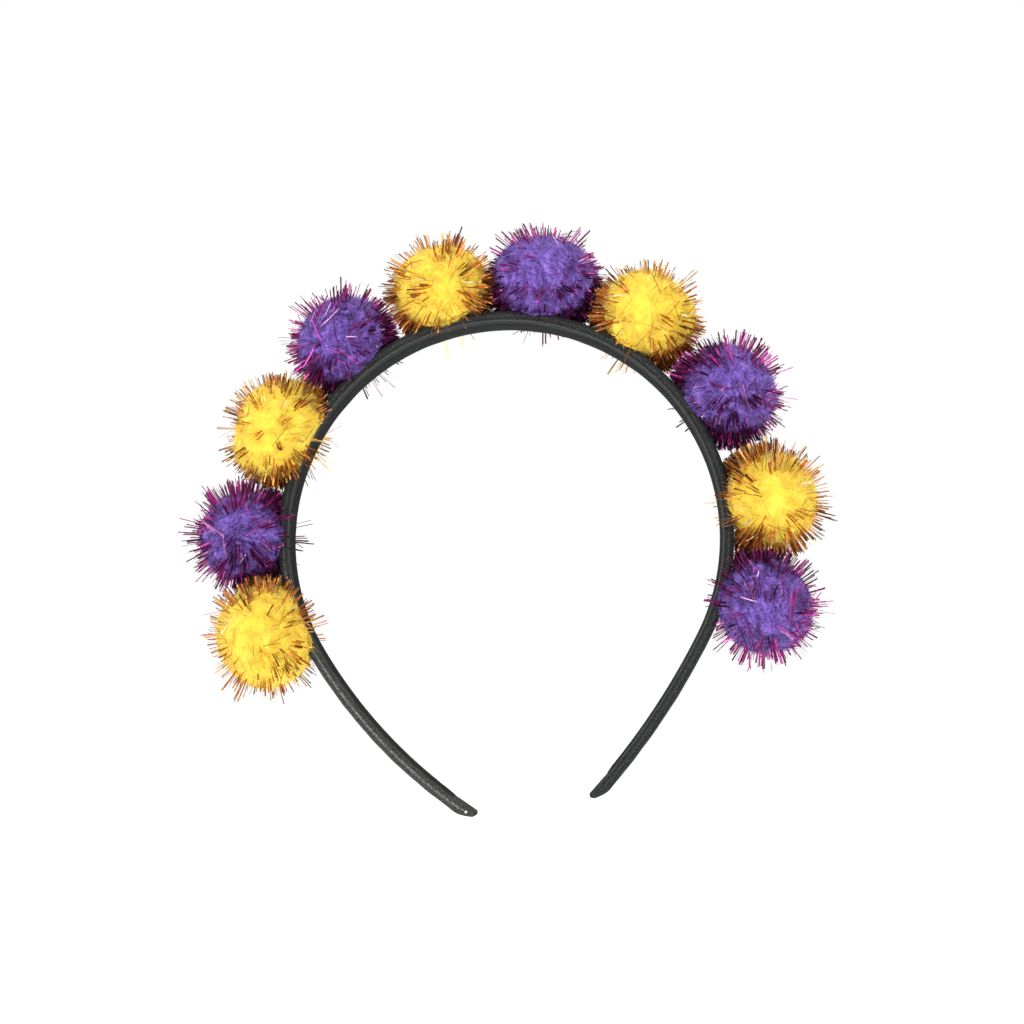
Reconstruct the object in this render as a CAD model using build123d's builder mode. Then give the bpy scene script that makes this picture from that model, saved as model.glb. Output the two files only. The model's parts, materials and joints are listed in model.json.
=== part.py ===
"""Pom-pom hair band: a wrapped, springy plastic hoop worn over the head, with ten fibre-and-tinsel
balls glued along its crown.  Worn upright: +Z to the crown, X from ear to ear, Y front to back.
The origin is the centre of the head circle, half way across the band's width.

A bearing is an angle in degrees from +Z, clockwise towards +X, about the Y axis.
"""

from build123d import *

import math
import os

# ---------------------------------------------------------------- the hoop
HEAD_RADIUS = 64.0  # inner face of the lining, round the crown
LINING_THICK = 0.4
WRAP_THICK = 0.3
CORE_THICK = 2.9
BAND_THICK = LINING_THICK + WRAP_THICK + CORE_THICK + WRAP_THICK
OUTER_RADIUS = HEAD_RADIUS + BAND_THICK

CROWN_WIDTH = 12.0  # across the band at the crown
TIP_WIDTH = 8.0  # across the band at the tips
TIP_HEIGHT = -84.0  # level of the lower tip
LINING_WIDTH = 7.0
WRAP_EDGE_RADIUS = 1.2
CORE_EDGE_RADIUS = 0.9
TIP_CORNER_RADIUS = 2.4

# Below the circle each leg runs on along a much larger arc, tangent to the circle.
# side: (bearing where the leg leaves the circle, leg radius, turn of the leg in degrees)
LEGS = {"left": (-121.4, 145.5, -26.5), "right": (117.3, 213.0, 15.3)}

# ---------------------------------------------------------------- the flexing places
FLEX_BEARINGS = (-77.0, -51.1, 45.5, 69.9)
FLEX_GAP = 0.8  # between two stretches of the hoop, at mid thickness
SEGMENTS = {
    "left_leg": (-179.9, FLEX_BEARINGS[0]),
    "left_shoulder": (FLEX_BEARINGS[0], FLEX_BEARINGS[1]),
    "crown": (FLEX_BEARINGS[1], FLEX_BEARINGS[2]),
    "right_shoulder": (FLEX_BEARINGS[2], FLEX_BEARINGS[3]),
    "right_leg": (FLEX_BEARINGS[3], 179.9),
}

# ---------------------------------------------------------------- the balls
# bearing, distance of the centre from the head circle's centre, ball radius, shift along Y
BALLS = (
    (-112.7, 77.6, 15.6, -2.0),
    (-89.7, 79.4, 14.3, -0.5),
    (-64.5, 76.2, 15.1, -2.0),
    (-39.7, 79.2, 14.5, 0.0),
    (-14.4, 79.4, 14.5, -1.5),
    (8.9, 80.2, 15.2, 0.5),
    (33.0, 80.2, 14.8, 0.0),
    (57.4, 80.4, 14.6, -0.5),
    (83.0, 80.0, 14.7, -1.0),
    (105.9, 79.2, 14.5, -1.0),
)
GLUE_THICK = 0.4
GLUE_RADIUS = 4.0
BALL_CLEARANCE = 0.2  # between a ball and the edges of the hoop
BALL_LIFT = 1.2  # between the head circle and the overhang of a ball beside the hoop
TINSEL_REACH = 5.0  # past the ball
TINSEL_START = 4.0  # from the ball's centre, outside the binding tie
TINSEL_WIDTH = 0.5
TINSEL_THICK = 0.12
TINSEL_DIRECTIONS = 44  # spread evenly over the whole ball before the unusable ones are left out
TINSEL_SIDE_LIMIT = 0.70  # share of a strip that may point along the band, at a neighbour
TINSEL_LOW_LIMIT = -0.15  # share of a strip that may point back at the hoop
TIE_RING_RADIUS = 2.0
TIE_THREAD_RADIUS = 0.45
TIE_KNOT_RADIUS = 0.9

# ---------------------------------------------------------------- the tips
TAB_LENGTH = 7.0  # ribbon folded over each tip
TAB_THICK = 0.3
TAB_WIDTH = 6.5
LINING_STOP = 8.0  # the lining ends this far before the tip
BEAD_BACK = 2.5  # from the left tip to the bead
BEAD_RADIUS = 0.6

REACH = 160.0  # larger than the whole object


def spot(bearing, radius, centre=(0.0, 0.0)):
    """The (x, z) point at that bearing and distance from centre."""
    angle = math.radians(bearing)
    return (centre[0] + radius * math.sin(angle), centre[1] + radius * math.cos(angle))


def leg_centre(side):
    """The (x, z) centre of a leg's arc, which is tangent to the head circle."""
    start, radius, _ = LEGS[side]
    return spot(start, HEAD_RADIUS - radius)


def leg_arc(side, depth, stop_short):
    """Three points of a leg's arc, depth outside the inner face, from the circle to the tip."""
    start, radius, turn = LEGS[side]
    centre = leg_centre(side)
    end = start + turn - math.copysign(math.degrees(stop_short / radius), turn)
    return [spot(b, radius + depth, centre) for b in (start, (start + end) / 2, end)]


def hoop_outline(inner, outer, stop_short=0.0):
    """Adds the closed side outline of a layer that lies from inner to outer off the inner face."""
    rims = {}
    for depth in (inner, outer):
        left = leg_arc("left", depth, stop_short)
        right = leg_arc("right", depth, stop_short)
        ThreePointArc(*left)
        ThreePointArc(left[0], spot(0, HEAD_RADIUS + depth), right[0])
        ThreePointArc(*right)
        rims[depth] = (left[2], right[2])
    for side in (0, 1):
        Line(rims[inner][side], rims[outer][side])


def half_width(z, narrower_by):
    """Half the band's width at height z: it narrows evenly from the crown to the tips."""
    narrowing = (CROWN_WIDTH - TIP_WIDTH) / (OUTER_RADIUS - TIP_HEIGHT)
    return (CROWN_WIDTH - narrowing * (OUTER_RADIUS - z)) / 2 - narrower_by


def sector(start, end):
    """A pie-shaped block between two bearings, short of each by half the flex gap."""
    half_gap = math.degrees(FLEX_GAP / 2 / (HEAD_RADIUS + BAND_THICK / 2))
    first, last = start + half_gap, end - half_gap
    steps = [first + (last - first) * i / 4 for i in range(5)]
    with BuildPart() as block:
        with BuildSketch(Plane.XZ):
            with BuildLine():
                Polyline((0, 0), *[spot(b, REACH) for b in steps], close=True)
            make_face()
        extrude(amount=CROWN_WIDTH, both=True)
    return block.part


def hoop(inner, outer, narrower_by, edge_radius, stop_short=0.0):
    """A whole layer of the hoop, tapered across its width, with rounded edges."""
    top, bottom = OUTER_RADIUS + 5, TIP_HEIGHT - 5
    with BuildPart() as layer:
        with BuildSketch(Plane.XZ):
            with BuildLine():
                hoop_outline(inner, outer, stop_short)
            make_face()
        extrude(amount=CROWN_WIDTH, both=True)
        with BuildSketch(Plane.YZ):
            with BuildLine():
                Polyline(
                    (half_width(top, narrower_by), top),
                    (half_width(bottom, narrower_by), bottom),
                    (-half_width(bottom, narrower_by), bottom),
                    (-half_width(top, narrower_by), top),
                    close=True,
                )
            make_face()
        extrude(amount=REACH, both=True, mode=Mode.INTERSECT)
        tip_edges = layer.edges().filter_by(lambda e: e.length < outer - inner + 0.01)
        fillet(tip_edges.filter_by(lambda e: abs(e.center().Z) > 40), TIP_CORNER_RADIUS)
        fillet(layer.edges(), edge_radius)
    return layer.part


def piece(shape, block):
    """The part of a shape that lies inside a block, as a part of its own."""
    with BuildPart() as cut:
        add(shape)
        add(block, mode=Mode.INTERSECT)
    return cut.part


def save(shape, name):
    """Labels a finished piece and writes it as its own node."""
    shape.label = name
    export_step(shape, f"parts/{name}.step")


# ---------------------------------------------------------------- the hoop's layers
os.makedirs("parts", exist_ok=True)

WRAP_INNER = LINING_THICK + WRAP_THICK
core_hoop = hoop(WRAP_INNER, BAND_THICK - WRAP_THICK, WRAP_THICK, CORE_EDGE_RADIUS, WRAP_THICK)
band_hoop = hoop(LINING_THICK, BAND_THICK, 0.0, WRAP_EDGE_RADIUS)

with BuildPart() as wrap_hoop:
    add(band_hoop)
    add(core_hoop, mode=Mode.SUBTRACT)

with BuildPart() as lining_hoop:
    with BuildSketch(Plane.XZ):
        with BuildLine():
            hoop_outline(0, LINING_THICK, LINING_STOP)
        make_face()
    extrude(amount=LINING_WIDTH / 2, both=True)

for segment, (segment_start, segment_end) in SEGMENTS.items():
    wedge = sector(segment_start, segment_end)
    save(piece(core_hoop, wedge), f"core_{segment}")
    save(piece(wrap_hoop.part, wedge), f"wrap_{segment}")
    save(piece(lining_hoop.part, wedge), f"lining_{segment}")


# ---------------------------------------------------------------- the tips
for side in LEGS:
    start, leg_radius, turn = LEGS[side]
    tip_bearing = start + turn
    way = math.copysign(1, turn)
    tab_start = tip_bearing - way * math.degrees(TAB_LENGTH / leg_radius)
    tab_end = tip_bearing + way * math.degrees(TAB_THICK / leg_radius)
    tab_middle = (tab_start + tab_end) / 2
    tab_inner = leg_radius + LINING_THICK - TAB_THICK
    tab_outer = leg_radius + BAND_THICK + TAB_THICK
    centre = leg_centre(side)
    with BuildPart() as tab:
        with BuildSketch(Plane.XZ):
            with BuildLine():
                ThreePointArc(*[spot(b, tab_inner, centre) for b in (tab_start, tab_middle, tab_end)])
                ThreePointArc(*[spot(b, tab_outer, centre) for b in (tab_start, tab_middle, tab_end)])
                Line(spot(tab_start, tab_inner, centre), spot(tab_start, tab_outer, centre))
                Line(spot(tab_end, tab_inner, centre), spot(tab_end, tab_outer, centre))
            make_face()
        extrude(amount=TAB_WIDTH / 2, both=True)
        add(band_hoop, mode=Mode.SUBTRACT)
    save(tab.part, f"end_tab_{side}")

# A bead of glue at the front edge of the left tip, where the fold was closed.
bead_bearing = LEGS["left"][0] + LEGS["left"][2] + math.degrees(BEAD_BACK / LEGS["left"][1])
bead_x, bead_z = spot(bead_bearing, LEGS["left"][1] + BAND_THICK / 2, leg_centre("left"))
with BuildPart() as bead:
    with Locations((bead_x, -half_width(bead_z, 0), bead_z)):
        Sphere(BEAD_RADIUS)
    add(band_hoop, mode=Mode.SUBTRACT)
save(bead.part, "glue_bead_left")


# ---------------------------------------------------------------- the balls
def ball_frame(ball):
    """The ball's plane: origin at its centre, z away from the head, x along the hoop, y along Y."""
    bearing, distance, _, shift = ball
    x, z = spot(bearing, distance)
    away_x, away_z = spot(bearing, 1)
    return Plane(origin=(x, shift, z), x_dir=(away_z, 0, -away_x), z_dir=(away_x, 0, away_z))


def make_pile(ball):
    """A ball of fibre, pressed flat where it sits on the hoop and trimmed clear of the hoop's edges."""
    frame = ball_frame(ball)
    radius = ball[2]
    width = 2 * half_width(frame.origin.Z, 0) + 2 * BALL_CLEARANCE
    with BuildPart() as pile:
        with Locations(frame):
            Sphere(radius)
        with Locations(Plane.XZ):
            Cylinder(OUTER_RADIUS + GLUE_THICK, width, mode=Mode.SUBTRACT)
            Cylinder(HEAD_RADIUS + BALL_LIFT, 4 * radius, mode=Mode.SUBTRACT)
    return pile.part


def make_tinsel(ball):
    """Strips of metallic film standing out of the ball, clear of the hoop and of the next balls."""
    frame = ball_frame(ball)
    tip = ball[2] + TINSEL_REACH
    golden_angle = math.pi * (3 - math.sqrt(5))
    with BuildPart() as tinsel:
        for i in range(TINSEL_DIRECTIONS):
            across = 1 - 2 * (i + 0.5) / TINSEL_DIRECTIONS
            spread = math.sqrt(1 - across**2)
            along, out = spread * math.cos(i * golden_angle), spread * math.sin(i * golden_angle)
            if abs(along) > TINSEL_SIDE_LIMIT or out < TINSEL_LOW_LIMIT:
                continue
            way = frame.from_local_coords(Vector(along, across, out)) - frame.origin
            strip = Plane(origin=frame.origin + way * (TINSEL_START + tip) / 2, z_dir=way)
            with Locations(strip):
                Box(TINSEL_WIDTH, TINSEL_THICK, tip - TINSEL_START)
    return tinsel.part


def make_tie(ball):
    """The thread that binds the middle of the ball's fibres, with its knot."""
    frame = ball_frame(ball)
    outward = frame.from_local_coords(Vector(0, TIE_RING_RADIUS, 0))
    knot = Plane(origin=outward, x_dir=outward - frame.origin, z_dir=frame.z_dir)
    with BuildPart() as tie:
        with Locations(frame):
            Torus(TIE_RING_RADIUS, TIE_THREAD_RADIUS)
        with Locations(knot):
            Sphere(TIE_KNOT_RADIUS)
    return tie.part


def make_glue(ball):
    """The disc of glue between a ball and the outer face of the hoop."""
    bearing, distance, _, _ = ball
    frame = ball_frame((bearing, distance, 0, 0))
    with BuildPart() as disc:
        with Locations(Plane.XZ):
            Cylinder(OUTER_RADIUS + GLUE_THICK, CROWN_WIDTH)
            Cylinder(OUTER_RADIUS, CROWN_WIDTH, mode=Mode.SUBTRACT)
        with Locations(frame):
            Cylinder(GLUE_RADIUS, 2 * (distance - HEAD_RADIUS), mode=Mode.INTERSECT)
    return disc.part


for number, ball in enumerate(BALLS, start=1):
    save(make_pile(ball), f"pile_{number:02d}")
    save(make_tinsel(ball), f"tinsel_{number:02d}")
    save(make_tie(ball), f"tie_{number:02d}")

for segment, (segment_start, segment_end) in SEGMENTS.items():
    with BuildPart() as glue:
        for ball in BALLS:
            if segment_start < ball[0] < segment_end:
                add(make_glue(ball))
    save(glue.part, f"glue_{segment}")
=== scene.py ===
import json
import math

import bmesh
import bpy
import numpy as np
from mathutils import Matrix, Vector

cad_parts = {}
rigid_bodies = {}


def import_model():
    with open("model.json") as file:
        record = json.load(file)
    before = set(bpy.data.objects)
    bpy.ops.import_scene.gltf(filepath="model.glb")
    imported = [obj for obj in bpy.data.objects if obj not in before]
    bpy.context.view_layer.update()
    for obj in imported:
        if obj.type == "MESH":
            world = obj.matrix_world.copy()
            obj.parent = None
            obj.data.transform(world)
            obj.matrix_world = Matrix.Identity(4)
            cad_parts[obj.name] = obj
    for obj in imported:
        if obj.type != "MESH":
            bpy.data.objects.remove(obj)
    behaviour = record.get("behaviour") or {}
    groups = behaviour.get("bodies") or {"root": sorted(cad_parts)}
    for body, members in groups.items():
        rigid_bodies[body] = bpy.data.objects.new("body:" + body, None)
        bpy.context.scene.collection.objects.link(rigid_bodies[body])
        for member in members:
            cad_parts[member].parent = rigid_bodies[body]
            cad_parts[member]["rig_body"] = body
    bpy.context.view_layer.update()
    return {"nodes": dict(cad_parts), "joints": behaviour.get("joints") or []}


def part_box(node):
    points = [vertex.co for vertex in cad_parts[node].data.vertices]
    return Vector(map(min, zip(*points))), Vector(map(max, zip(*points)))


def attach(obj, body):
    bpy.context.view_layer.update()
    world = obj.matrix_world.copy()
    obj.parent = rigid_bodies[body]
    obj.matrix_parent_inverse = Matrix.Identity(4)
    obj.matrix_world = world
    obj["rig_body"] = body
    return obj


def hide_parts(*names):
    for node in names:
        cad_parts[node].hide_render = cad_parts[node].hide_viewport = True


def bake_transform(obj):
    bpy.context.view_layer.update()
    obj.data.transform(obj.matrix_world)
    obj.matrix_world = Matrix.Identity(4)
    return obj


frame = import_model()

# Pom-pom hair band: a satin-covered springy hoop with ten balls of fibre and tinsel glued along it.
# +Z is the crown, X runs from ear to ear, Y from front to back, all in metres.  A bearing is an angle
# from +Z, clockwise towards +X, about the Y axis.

MM = 0.001

# ---------------------------------------------------------------- the hoop, as the CAD has it
HEAD_RADIUS = 64.0 * MM  # inner face of the lining, round the crown
LINING_THICK = 0.4 * MM
WRAP_THICK = 0.3 * MM
BAND_THICK = 3.9 * MM
OUTER_RADIUS = HEAD_RADIUS + BAND_THICK
CROWN_WIDTH = 12.0 * MM
TIP_WIDTH = 8.0 * MM
TIP_HEIGHT = -84.0 * MM
LINING_WIDTH = 7.0 * MM
# bearing where the leg leaves the circle, radius of the leg's arc, how far it turns
LEFT_LEG = (math.radians(-121.4), 145.5 * MM, math.radians(26.5))
RIGHT_LEG = (math.radians(117.3), 213.0 * MM, math.radians(15.3))
LEFT_LENGTH = LEFT_LEG[1] * LEFT_LEG[2]
ROUND_LENGTH = HEAD_RADIUS * (RIGHT_LEG[0] - LEFT_LEG[0])
RIGHT_LENGTH = RIGHT_LEG[1] * RIGHT_LEG[2]
HOOP_LENGTH = LEFT_LENGTH + ROUND_LENGTH + RIGHT_LENGTH

# The cover, the ribbon and the plastic strip are each made in four stretches, parted under balls.
# name, body before the hinge, body after it, hinge, bearings where it starts and ends
STRETCHES = (
    ("left", "left_leg", "left_shoulder", "left_bend_lower", None, -64.5),
    ("crown_left", "left_shoulder", "crown", "left_bend_upper", -64.5, 8.9),
    ("crown_right", "crown", "right_shoulder", "right_bend_upper", 8.9, 57.4),
    ("right", "right_shoulder", "right_leg", "right_bend_lower", 57.4, None),
)
STANDS_FOR = {
    "left": ("left_leg",),
    "crown_left": ("left_shoulder", "crown"),
    "crown_right": ("right_shoulder",),
    "right": ("right_leg",),
}
HINGE_REACH = 12.0 * MM  # each side of a hinge, along the band

BALL_COUNT = 10
BODY = {name: node["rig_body"] for name, node in frame["nodes"].items()}
JOINTS = {joint["name"]: joint for joint in frame["joints"]}


# ---------------------------------------------------------------- vectors and meshes
def unit(vectors):
    """Each row scaled to length 1."""
    return vectors / np.maximum(np.linalg.norm(vectors, axis=-1, keepdims=True), 1e-12)


def bearing_way(bearing):
    """Unit vectors in the plane of the hoop at those bearings."""
    bearing = np.asarray(bearing, float)
    return np.stack([np.sin(bearing), np.zeros_like(bearing), np.cos(bearing)], axis=-1)


def even_directions(count, random, jitter):
    """Unit vectors spread evenly over the sphere, each nudged by jitter of their spacing."""
    i = np.arange(count) + 0.5
    up = 1 - 2 * i / count
    turn = i * math.pi * (3 - math.sqrt(5))
    level = np.sqrt(1 - up**2)
    ways = np.stack([level * np.cos(turn), level * np.sin(turn), up], axis=-1)
    spacing = math.sqrt(4 * math.pi / count)
    return unit(ways + random.normal(0, jitter * spacing, ways.shape))


def across(ways, random):
    """For each direction, a random unit vector square to it."""
    other = random.normal(0, 1, ways.shape)
    return unit(np.cross(ways, other))


def waves(points, random, count, lowest, highest):
    """A smooth random field at those points, about -1 to 1, with waves per unit from lowest to highest."""
    total = np.zeros(len(points))
    for _ in range(count):
        way = unit(random.normal(0, 1, points.shape[1]))
        per_unit = random.uniform(lowest, highest)
        total += np.sin(points @ way * per_unit * 2 * math.pi + random.uniform(0, 2 * math.pi))
    return total / math.sqrt(count / 2)


def new_piece(name, points, faces, material, smooth=True, **attributes):
    """A mesh object from arrays of points and of faces, with float or vector attributes on its points."""
    faces = [np.asarray(f, np.int32) for f in faces if len(f)]
    corners = np.concatenate([f.ravel() for f in faces])
    sizes = np.concatenate([np.full(len(f), f.shape[1], np.int32) for f in faces])
    mesh = bpy.data.meshes.new(name)
    mesh.vertices.add(len(points))
    mesh.vertices.foreach_set("co", np.asarray(points, np.float32).ravel())
    mesh.loops.add(len(corners))
    mesh.loops.foreach_set("vertex_index", corners)
    mesh.polygons.add(len(sizes))
    mesh.polygons.foreach_set("loop_start", np.concatenate([[0], np.cumsum(sizes)[:-1]]))
    mesh.polygons.foreach_set("use_smooth", np.full(len(sizes), smooth))
    mesh.update(calc_edges=True)
    for label, values in attributes.items():
        kind, key = ("FLOAT", "value") if values.ndim == 1 else ("FLOAT_VECTOR", "vector")
        layer = mesh.attributes.new(label, kind, "POINT")
        layer.data.foreach_set(key, np.asarray(values, np.float32).ravel())
    mesh.materials.append(material)
    piece = bpy.data.objects.new(name, mesh)
    bpy.context.scene.collection.objects.link(piece)
    return piece


# ---------------------------------------------------------------- shader nodes
def new_material(name):
    """A material, its node tree and its Principled BSDF node."""
    material = bpy.data.materials.new(name)
    material.use_nodes = True
    return material, material.node_tree, material.node_tree.nodes["Principled BSDF"]


def node(tree, kind, settings=None, **inputs):
    """Adds a shader node; an input is named with _ for a space, and is a number, colour or output socket."""
    made = tree.nodes.new("ShaderNode" + kind)
    for key, value in (settings or {}).items():
        setattr(made, key, value)
    for key, value in inputs.items():
        connect(tree, made.inputs[key.replace("_", " ")], value)
    return made


def connect(tree, socket, value):
    """Links an output socket to an input, or sets the input's own value."""
    if isinstance(value, bpy.types.NodeSocket):
        tree.links.new(value, socket)
    else:
        socket.default_value = value


def attribute(tree, name, output="Fac"):
    """The output socket of a mesh attribute."""
    return node(tree, "Attribute", {"attribute_name": name}).outputs[output]


def maths(tree, operation, first, second=0.0):
    """The output of one maths node."""
    made = tree.nodes.new("ShaderNodeMath")
    made.operation = operation
    connect(tree, made.inputs[0], first)
    connect(tree, made.inputs[1], second)
    return made.outputs[0]


def mix(tree, share, first, second, blend="MIX"):
    """The colour that lies share of the way from first to second."""
    made = tree.nodes.new("ShaderNodeMix")
    made.data_type = "RGBA"
    made.blend_type = blend
    connect(tree, made.inputs[0], share)
    connect(tree, made.inputs[6], first)
    connect(tree, made.inputs[7], second)
    return made.outputs[2]


def ramp(tree, value, *stops):
    """A colour ramp through (place, colour) stops."""
    made = tree.nodes.new("ShaderNodeValToRGB")
    elements = made.color_ramp.elements
    while len(elements) < len(stops):
        elements.new(0.5)
    for element, (place, colour) in zip(elements, stops):
        element.position = place
        element.color = (*colour, 1.0)
    connect(tree, made.inputs[0], value)
    return made.outputs[0]


def grey(level):
    return (level, level, level)


def bump(tree, height, distance, strength=1.0, normal=None):
    """The normal output of a bump node."""
    made = node(tree, "Bump", Height=height, Distance=distance, Strength=strength)
    if normal is not None:
        tree.links.new(normal, made.inputs["Normal"])
    return made.outputs[0]


# ---------------------------------------------------------------- materials
def woven_cloth(name, dark, light, fleck_and_highlight, thread, shine):
    """Satin or ribbon: fine crossed threads of that pitch, soft flecks, a paler edge and a speckled sheen.
    On the cover the paler edge is a painted highlight along the selvedge ridge; on the ribbon and tip folds
    it is their paler woven edge.  The speckled sheen is painted sheen.  Its pattern lies on the attribute
    cloth, which holds metres along the band and round it."""
    material, tree, surface = new_material(name)
    cloth = attribute(tree, "cloth", "Vector")
    per_metre = 0.314 / thread
    warp = node(tree, "TexWave", {"bands_direction": "Y"}, Vector=cloth, Scale=per_metre, Distortion=1.2,
                Detail=2.0, Detail_Scale=1.5)
    weft = node(tree, "TexWave", {"bands_direction": "X"}, Vector=cloth, Scale=per_metre * 0.62,
                Distortion=2.0, Detail=2.0, Detail_Scale=1.5)
    flecks = node(tree, "TexNoise", Vector=cloth, Scale=2400.0, Detail=4.0, Roughness=0.75)
    patches = node(tree, "TexNoise", Vector=cloth, Scale=150.0, Detail=3.0, Roughness=0.6)
    weave = maths(tree, "MULTIPLY", warp.outputs["Fac"], weft.outputs["Fac"])
    patchy = maths(tree, "MULTIPLY", patches.outputs["Fac"], 0.5)
    shade = maths(tree, "ADD", maths(tree, "MULTIPLY", weave, 0.45), patchy)
    base = ramp(tree, shade, (0.15, dark), (0.8, light))
    speck = ramp(tree, flecks.outputs["Fac"], (0.55, grey(0.0)), (0.70, grey(1.0)))
    base = mix(tree, maths(tree, "MULTIPLY", speck, 0.75), base, (*fleck_and_highlight, 1.0))
    # Paler edge: on the cover a painted highlight along the selvedge ridge, on the ribbon and tip folds their
    # paler woven edges.
    base = mix(tree, attribute(tree, "edge"), base, (*fleck_and_highlight, 1.0))
    # Painted sheen: lighter speckles mixed in where the mesh asks for sheen.
    hairs = node(tree, "TexNoise", Vector=cloth, Scale=1300.0, Detail=3.0, Roughness=0.8)
    speckled_sheen = ramp(tree, hairs.outputs["Fac"], (0.36, grey(0.0)), (0.60, grey(1.0)))
    base = mix(tree, maths(tree, "MULTIPLY", speckled_sheen, attribute(tree, "worn")), base, (*fleck_and_highlight, 1.0))
    connect(tree, surface.inputs["Base Color"], base)
    rough = maths(tree, "ADD", maths(tree, "MULTIPLY", flecks.outputs["Fac"], 0.25), 0.58)
    connect(tree, surface.inputs["Roughness"], rough)
    surface.inputs["Sheen Weight"].default_value = 0.3 * shine
    surface.inputs["Sheen Roughness"].default_value = 0.45
    surface.inputs["Specular IOR Level"].default_value = shine
    height = maths(tree, "ADD", weave, maths(tree, "MULTIPLY", flecks.outputs["Fac"], 1.2))
    connect(tree, surface.inputs["Normal"], bump(tree, height, 0.00007))
    return material


def fibre(name, cleft_shade, deep, middle, tip, glint, matting):
    """Soft acrylic fibre: tone varies from fibre to fibre, and depth carries painted shade, darkest in the
    clefts and at the roots and palest at the tips, with small painted glints mixed in.  Matting is how dark
    its finest mottling goes."""
    material, tree, surface = new_material(name)
    depth = attribute(tree, "depth")
    tone = attribute(tree, "tone")
    body = ramp(tree, depth, (0.0, cleft_shade), (0.3, deep), (0.62, middle), (1.0, tip))
    strand = ramp(tree, tone, (0.0, grey(0.62)), (0.5, grey(0.95)), (1.0, grey(1.12)))
    body = mix(tree, 1.0, body, strand, "MULTIPLY")
    spots = node(tree, "TexNoise", Vector=attribute(tree, "place", "Vector"), Scale=900.0, Detail=3.0)
    felt = node(tree, "TexNoise", Vector=attribute(tree, "place", "Vector"), Scale=2600.0, Detail=3.0,
                Roughness=0.75)
    tufted = ramp(tree, felt.outputs["Fac"], (0.36, grey(matting)), (0.64, grey(1.06)))
    body = mix(tree, 1.0, body, tufted, "MULTIPLY")
    spark = ramp(tree, spots.outputs["Fac"], (0.6, grey(0.0)), (0.75, grey(1.0)))
    body = mix(tree, maths(tree, "MULTIPLY", spark, 0.35), body, (*glint, 1.0))
    connect(tree, surface.inputs["Base Color"], body)
    rough = maths(tree, "ADD", maths(tree, "MULTIPLY", tone, 0.15), 0.72)
    connect(tree, surface.inputs["Roughness"], rough)
    surface.inputs["Sheen Weight"].default_value = 0.25
    surface.inputs["Sheen Roughness"].default_value = 0.5
    surface.inputs["Specular IOR Level"].default_value = 0.2
    return material


def tinsel_film(name, stops, tip_tint):
    """Metallised film: tone picks a strip's colour along the stops, and some strips darken to the tip."""
    material, tree, surface = new_material(name)
    colour = ramp(tree, attribute(tree, "tone"), *stops)
    creases = node(tree, "TexNoise", Vector=attribute(tree, "place", "Vector"), Scale=700.0, Detail=3.0)
    worn = ramp(tree, creases.outputs["Fac"], (0.35, grey(0.7)), (0.65, grey(1.15)))
    colour = mix(tree, 1.0, colour, worn, "MULTIPLY")
    colour = mix(tree, attribute(tree, "tarnish"), colour, (*tip_tint, 1.0))
    connect(tree, surface.inputs["Base Color"], colour)
    rough = maths(tree, "ADD", maths(tree, "MULTIPLY", creases.outputs["Fac"], 0.25), 0.12)
    connect(tree, surface.inputs["Roughness"], rough)
    surface.inputs["Metallic"].default_value = 0.85
    connect(tree, surface.inputs["Normal"], bump(tree, creases.outputs["Fac"], 0.00008))
    return material


def moulded_plastic():
    """Dark moulded polypropylene, faintly grained."""
    material, tree, surface = new_material("core_plastic")
    grain = node(tree, "TexNoise", Vector=attribute(tree, "cloth", "Vector"), Scale=2500.0, Detail=2.0)
    streaks = node(tree, "TexNoise", Vector=attribute(tree, "cloth", "Vector"), Scale=90.0, Detail=4.0)
    base = ramp(tree, streaks.outputs["Fac"], (0.3, (0.018, 0.018, 0.02)), (0.7, (0.035, 0.035, 0.038)))
    connect(tree, surface.inputs["Base Color"], base)
    rough = maths(tree, "ADD", maths(tree, "MULTIPLY", grain.outputs["Fac"], 0.3), 0.3)
    connect(tree, surface.inputs["Roughness"], rough)
    connect(tree, surface.inputs["Normal"], bump(tree, grain.outputs["Fac"], 0.00003))
    return material


def set_glue():
    """Milky hot-melt glue with soft ripples."""
    material, tree, surface = new_material("hot_glue")
    place = node(tree, "TexCoord").outputs["Object"]
    ripples = node(tree, "TexNoise", Vector=place, Scale=600.0, Detail=3.0)
    base = ramp(tree, ripples.outputs["Fac"], (0.3, (0.62, 0.6, 0.54)), (0.7, (0.86, 0.86, 0.82)))
    connect(tree, surface.inputs["Base Color"], base)
    rough = maths(tree, "ADD", maths(tree, "MULTIPLY", ripples.outputs["Fac"], 0.3), 0.15)
    connect(tree, surface.inputs["Roughness"], rough)
    surface.inputs["Subsurface Weight"].default_value = 0.2
    surface.inputs["Subsurface Radius"].default_value = (0.001, 0.001, 0.0008)
    connect(tree, surface.inputs["Normal"], bump(tree, ripples.outputs["Fac"], 0.0001))
    return material


def binding_thread():
    """Twisted off-white thread."""
    material, tree, surface = new_material("tie_thread")
    place = node(tree, "TexCoord").outputs["Object"]
    twist = node(tree, "TexWave", {"bands_direction": "DIAGONAL"}, Vector=place, Scale=900.0, Distortion=1.5,
                 Detail=2.0)
    base = ramp(tree, twist.outputs["Fac"], (0.1, (0.5, 0.47, 0.42)), (0.7, (0.85, 0.83, 0.78)))
    connect(tree, surface.inputs["Base Color"], base)
    fuzz = maths(tree, "ADD", maths(tree, "MULTIPLY", twist.outputs["Fac"], 0.2), 0.65)
    connect(tree, surface.inputs["Roughness"], fuzz)
    surface.inputs["Sheen Weight"].default_value = 0.3
    connect(tree, surface.inputs["Normal"], bump(tree, twist.outputs["Fac"], 0.00015))
    return material


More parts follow.
